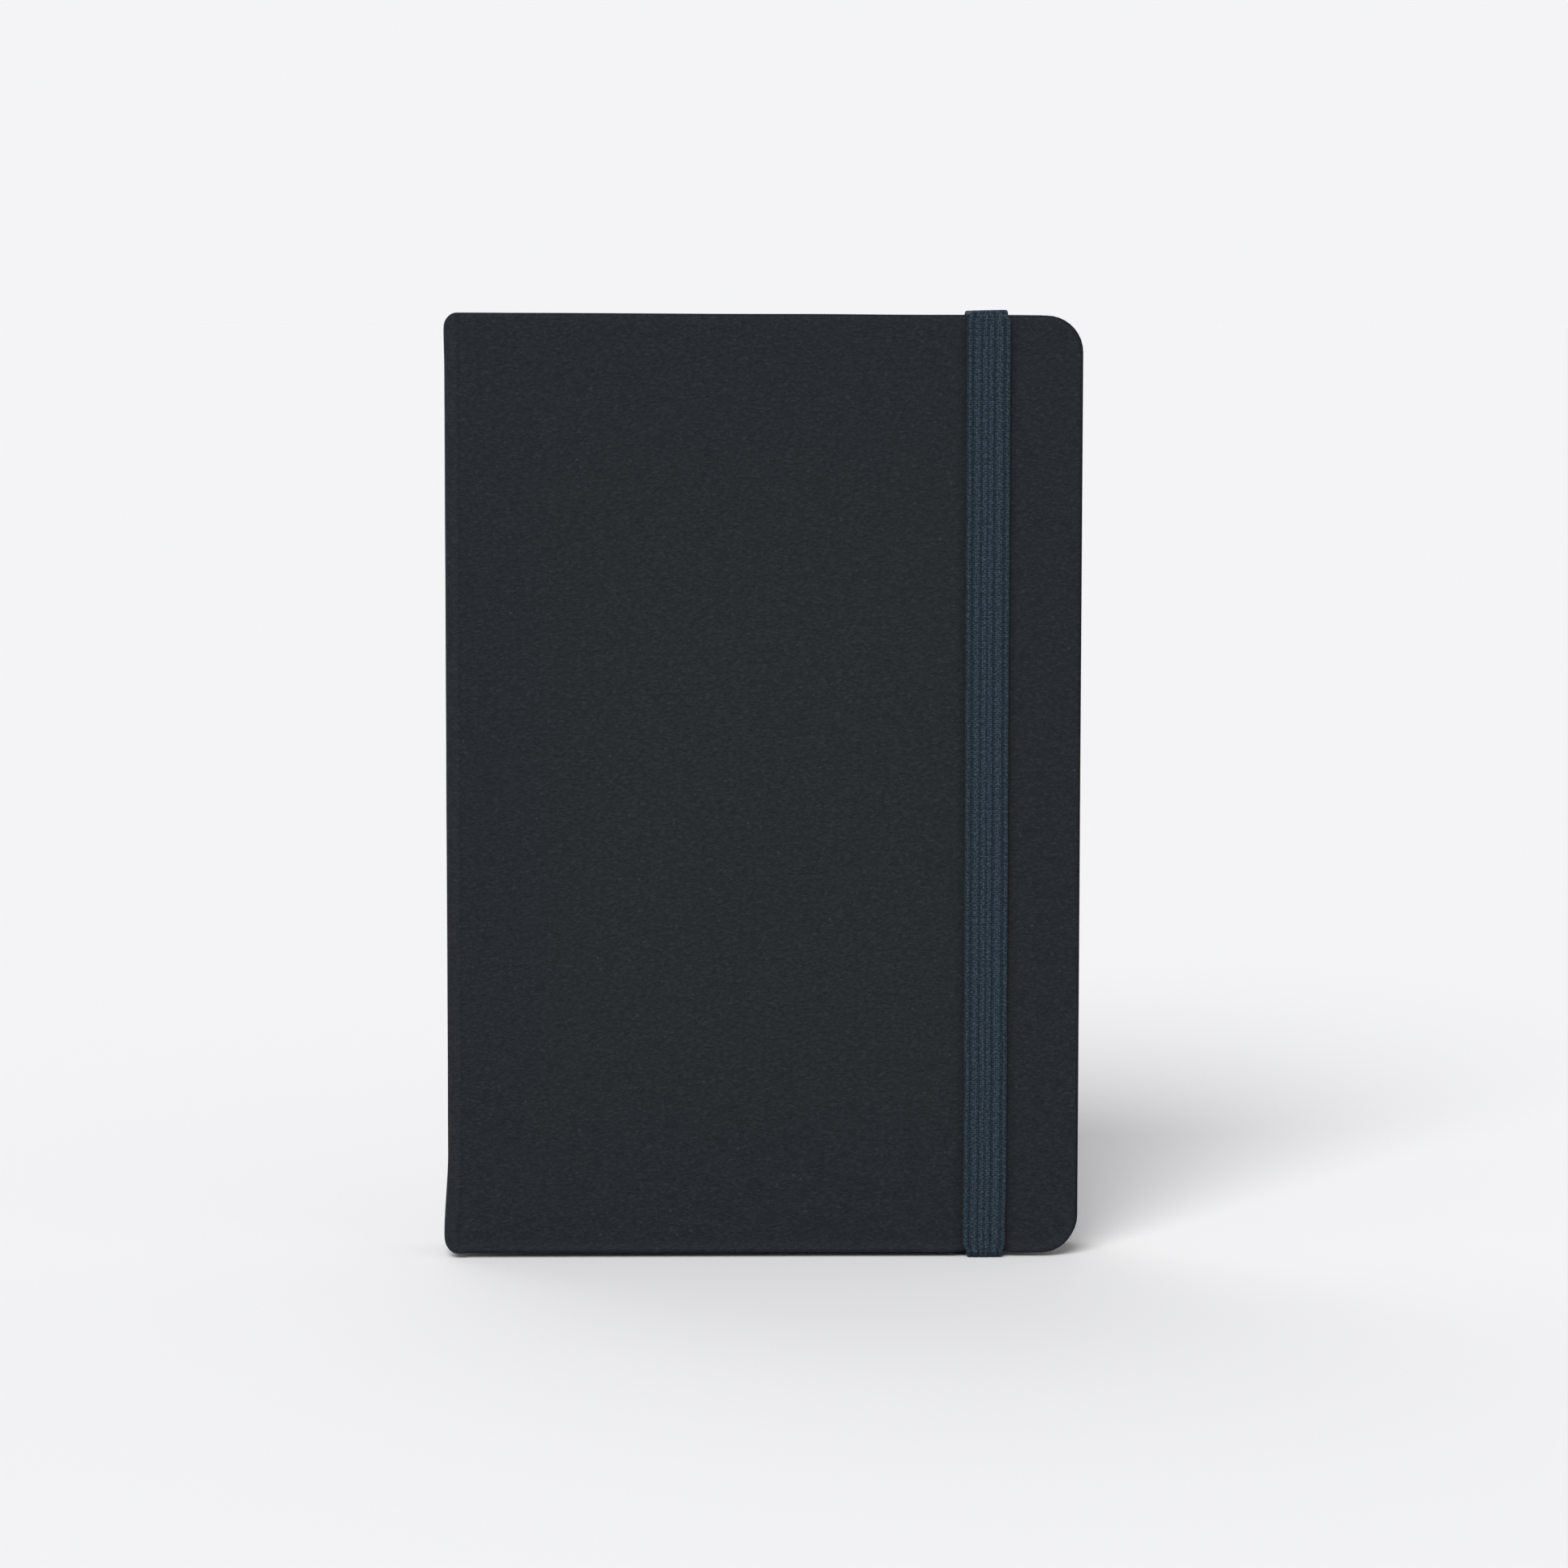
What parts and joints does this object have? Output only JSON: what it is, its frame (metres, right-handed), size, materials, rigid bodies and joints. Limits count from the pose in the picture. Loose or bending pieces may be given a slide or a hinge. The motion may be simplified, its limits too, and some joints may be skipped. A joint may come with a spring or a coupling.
{
  "type": "pocket notebook",
  "caption": "Hardcover pocket notebook with a sewn page block, rounded fore-edge corners and a vertical elastic closure band.",
  "frame": {"origin": "middle of the footprint, at the level of the surface the notebook stands on", "axes": "+Z from tail to head, -Y out of the front cover, +X from spine to fore-edge"},
  "size_m": [0.095, 0.0158, 0.1428],
  "materials": {
    "covering": "fine-grained dark charcoal leatherette, satin",
    "elastic": "ribbed woven elastic, slate blue",
    "greyboard": "uncoated",
    "endpaper": "uncoated, cream",
    "pages": "uncoated, ivory",
    "lining": "kraft",
    "mull": "open-weave gauze",
    "thread": "waxed thread",
    "end_band": "woven bead"
  },
  "bodies": {
    "spine": {"spine_wrap": "covering", "spine_board": "greyboard", "spine_lining": "lining", "mull": "mull", "sewing_thread": "thread", "headband": "end_band", "tailband": "end_band"},
    "front_cover": {"front_cover_wrap": "covering", "front_board": "greyboard", "front_pastedown": "endpaper"},
    "back_cover": {"back_cover_wrap": "covering", "back_board": "greyboard", "back_pastedown": "endpaper", "elastic_anchor_head": "elastic", "elastic_anchor_tail": "elastic"},
    "elastic_band": {"elastic_front": "elastic", "elastic_head": "elastic", "elastic_tail": "elastic"},
    "leaves_01": {"section_01": "pages"},
    "leaves_02": {"section_02": "pages"},
    "leaves_03": {"section_03": "pages"},
    "leaves_04": {"section_04": "pages"},
    "leaves_05": {"section_05": "pages"},
    "leaves_06": {"section_06": "pages"},
    "leaves_07": {"section_07": "pages"},
    "leaves_08": {"section_08": "pages"},
    "leaves_09": {"section_09": "pages"},
    "leaves_10": {"section_10": "pages"},
    "leaves_11": {"section_11": "pages"},
    "leaves_12": {"section_12": "pages"},
    "flyleaf_front": {"front_flyleaf": "endpaper"},
    "flyleaf_back": {"back_flyleaf": "endpaper"}
  },
  "joints": [
    {"name": "front_cover_open", "type": "hinge", "parent": "spine", "child": "front_cover", "pos_m": [-0.04415, -0.0058, 0.07138], "axis": [0, 0, -1], "range_deg": [0, 90]},
    {"name": "back_cover_open", "type": "hinge", "parent": "spine", "child": "back_cover", "pos_m": [-0.04415, 0.0058, 0.07138], "axis": [0, 0, 1], "range_deg": [0, 90]},
    {"name": "elastic_release", "type": "hinge", "parent": "back_cover", "child": "elastic_band", "pos_m": [0.0334, 0.00748, 0.07138], "axis": [0, 0, 1], "range_deg": [0, 180], "deforming": ["elastic_front", "elastic_head", "elastic_tail"]},
    {"name": "leaves_01_turn", "type": "hinge", "parent": "spine", "child": "leaves_01", "pos_m": [-0.0435, -0.00385, 0.07138], "axis": [0, 0, -1], "range_deg": [0, 55]},
    {"name": "leaves_02_turn", "type": "hinge", "parent": "spine", "child": "leaves_02", "pos_m": [-0.0435, -0.00315, 0.07138], "axis": [0, 0, -1], "range_deg": [0, 45]},
    {"name": "leaves_03_turn", "type": "hinge", "parent": "spine", "child": "leaves_03", "pos_m": [-0.0435, -0.00245, 0.07138], "axis": [0, 0, -1], "range_deg": [0, 35]},
    {"name": "leaves_04_turn", "type": "hinge", "parent": "spine", "child": "leaves_04", "pos_m": [-0.0435, -0.00175, 0.07138], "axis": [0, 0, -1], "range_deg": [0, 25]},
    {"name": "leaves_05_turn", "type": "hinge", "parent": "spine", "child": "leaves_05", "pos_m": [-0.0435, -0.00105, 0.07138], "axis": [0, 0, -1], "range_deg": [0, 15]},
    {"name": "leaves_06_turn", "type": "hinge", "parent": "spine", "child": "leaves_06", "pos_m": [-0.0435, -0.00035, 0.07138], "axis": [0, 0, -1], "range_deg": [0, 5]},
    {"name": "leaves_07_turn", "type": "hinge", "parent": "spine", "child": "leaves_07", "pos_m": [-0.0435, 0.00035, 0.07138], "axis": [0, 0, 1], "range_deg": [0, 5]},
    {"name": "leaves_08_turn", "type": "hinge", "parent": "spine", "child": "leaves_08", "pos_m": [-0.0435, 0.00105, 0.07138], "axis": [0, 0, 1], "range_deg": [0, 15]},
    {"name": "leaves_09_turn", "type": "hinge", "parent": "spine", "child": "leaves_09", "pos_m": [-0.0435, 0.00175, 0.07138], "axis": [0, 0, 1], "range_deg": [0, 25]},
    {"name": "leaves_10_turn", "type": "hinge", "parent": "spine", "child": "leaves_10", "pos_m": [-0.0435, 0.00245, 0.07138], "axis": [0, 0, 1], "range_deg": [0, 35]},
    {"name": "leaves_11_turn", "type": "hinge", "parent": "spine", "child": "leaves_11", "pos_m": [-0.0435, 0.00315, 0.07138], "axis": [0, 0, 1], "range_deg": [0, 45]},
    {"name": "leaves_12_turn", "type": "hinge", "parent": "spine", "child": "leaves_12", "pos_m": [-0.0435, 0.00385, 0.07138], "axis": [0, 0, 1], "range_deg": [0, 55]},
    {"name": "flyleaf_front_turn", "type": "hinge", "parent": "leaves_01", "child": "flyleaf_front", "pos_m": [-0.0405, -0.00435, 0.07138], "axis": [0, 0, -1], "range_deg": [0, 28]},
    {"name": "flyleaf_back_turn", "type": "hinge", "parent": "leaves_12", "child": "flyleaf_back", "pos_m": [-0.0405, 0.00435, 0.07138], "axis": [0, 0, 1], "range_deg": [0, 28]}
  ],
  "couplings": [
    {"joint": "back_cover_open", "follows": "front_cover_open", "ratio": 1},
    {"joint": "elastic_release", "follows": "front_cover_open", "ratio": 2},
    {"joint": "leaves_01_turn", "follows": "front_cover_open", "ratio": 0.61111},
    {"joint": "leaves_02_turn", "follows": "front_cover_open", "ratio": 0.5},
    {"joint": "leaves_03_turn", "follows": "front_cover_open", "ratio": 0.38889},
    {"joint": "leaves_04_turn", "follows": "front_cover_open", "ratio": 0.27778},
    {"joint": "leaves_05_turn", "follows": "front_cover_open", "ratio": 0.16667},
    {"joint": "leaves_06_turn", "follows": "front_cover_open", "ratio": 0.055555},
    {"joint": "leaves_07_turn", "follows": "front_cover_open", "ratio": 0.055555},
    {"joint": "leaves_08_turn", "follows": "front_cover_open", "ratio": 0.16667},
    {"joint": "leaves_09_turn", "follows": "front_cover_open", "ratio": 0.27778},
    {"joint": "leaves_10_turn", "follows": "front_cover_open", "ratio": 0.38889},
    {"joint": "leaves_11_turn", "follows": "front_cover_open", "ratio": 0.5},
    {"joint": "leaves_12_turn", "follows": "front_cover_open", "ratio": 0.61111},
    {"joint": "flyleaf_front_turn", "follows": "front_cover_open", "ratio": 0.31111},
    {"joint": "flyleaf_back_turn", "follows": "front_cover_open", "ratio": 0.31111}
  ]
}
